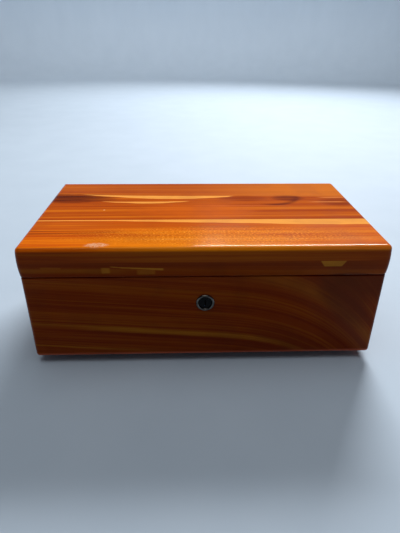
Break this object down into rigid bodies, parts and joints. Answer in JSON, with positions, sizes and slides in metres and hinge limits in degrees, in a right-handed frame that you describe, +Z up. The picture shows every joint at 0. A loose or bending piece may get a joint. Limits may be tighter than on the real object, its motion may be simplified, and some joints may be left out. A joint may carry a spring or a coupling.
{
  "type": "lidded wooden box",
  "caption": "Small lidded cedar chest with a hinged lid, a push-button lock with a keyway in its front, and rubber feet set in underneath.",
  "frame": {"origin": "under the middle of the whole chest, on the surface that its feet stand on", "axes": "+X to the right along the front, -Y out of the front, +Z up"},
  "size_m": [0.229, 0.1292, 0.0863],
  "materials": {
    "cedar_lid_top": "red cedar in glossy amber lacquer, with pale sapwood",
    "cedar_lid_rails": "red cedar in glossy amber lacquer",
    "cedar_case": "red cedar, glossy amber lacquer outside, bare inside",
    "cedar_bottom": "bare red cedar",
    "foot_rubber": "black moulded rubber",
    "nickel_plate": "bright nickel plate, a little dulled",
    "zinc_steel": "zinc-plated pressed steel",
    "spring_steel": "spring steel wire",
    "hinge_brass": "brass-plated steel",
    "button_black": "black lacquered metal",
    "key_plug_metal": "black lacquered metal, worn at the keyway"
  },
  "bodies": {
    "case": {"front_panel": "cedar_case", "back_panel": "cedar_case", "left_end_panel": "cedar_case", "right_end_panel": "cedar_case", "bottom_panel": "cedar_bottom", "front_left_foot": "foot_rubber", "front_right_foot": "foot_rubber", "rear_left_foot": "foot_rubber", "rear_right_foot": "foot_rubber", "foot_screws": "zinc_steel", "lock_barrel": "nickel_plate", "lock_nut": "nickel_plate", "lock_bracket": "zinc_steel", "bracket_screws": "zinc_steel", "latch_pin": "zinc_steel", "left_hinge_case_leaf": "hinge_brass", "right_hinge_case_leaf": "hinge_brass", "left_hinge_pin": "hinge_brass", "right_hinge_pin": "hinge_brass", "case_hinge_screws": "hinge_brass", "button_spring": "spring_steel", "latch_spring": "spring_steel"},
    "lid": {"lid_front_board": "cedar_lid_top", "lid_rear_board": "cedar_lid_top", "lid_front_rail": "cedar_lid_rails", "lid_back_rail": "cedar_lid_rails", "lid_left_rail": "cedar_lid_rails", "lid_right_rail": "cedar_lid_rails", "left_hinge_lid_leaf": "hinge_brass", "right_hinge_lid_leaf": "hinge_brass", "lid_hinge_screws": "hinge_brass", "strike_plate": "nickel_plate", "strike_screws": "nickel_plate"},
    "button": {"lock_button": "button_black", "button_retaining_ring": "spring_steel"},
    "key_cylinder": {"key_plug": "key_plug_metal", "plug_retaining_ring": "spring_steel"},
    "latch": {"latch_lever": "zinc_steel"}
  },
  "joints": [
    {"name": "lid_hinge", "type": "hinge", "parent": "case", "child": "lid", "pos_m": [0, 0.06305, 0.06615], "axis": [-1, 0, 0], "range_deg": [0, 100]},
    {"name": "button_press", "type": "slide", "parent": "case", "child": "button", "axis": [0, 1, 0], "range_m": [0, 0.0025], "stiffness_N_per_m": 300, "springref_m": -0.002, "deforming": ["button_spring"]},
    {"name": "key_turn", "type": "hinge", "parent": "button", "child": "key_cylinder", "pos_m": [0, -0.06335, 0.0473], "axis": [0, 1, 0], "range_deg": [0, 90]},
    {"name": "latch_swing", "type": "hinge", "parent": "case", "child": "latch", "pos_m": [0, -0.0447, 0.035], "axis": [-1, 0, 0], "range_deg": [0, 11.65], "deforming": ["latch_spring"]}
  ],
  "couplings": [
    {"joint": "latch_swing", "follows": "button_press", "rad_per_m": 81.3}
  ]
}
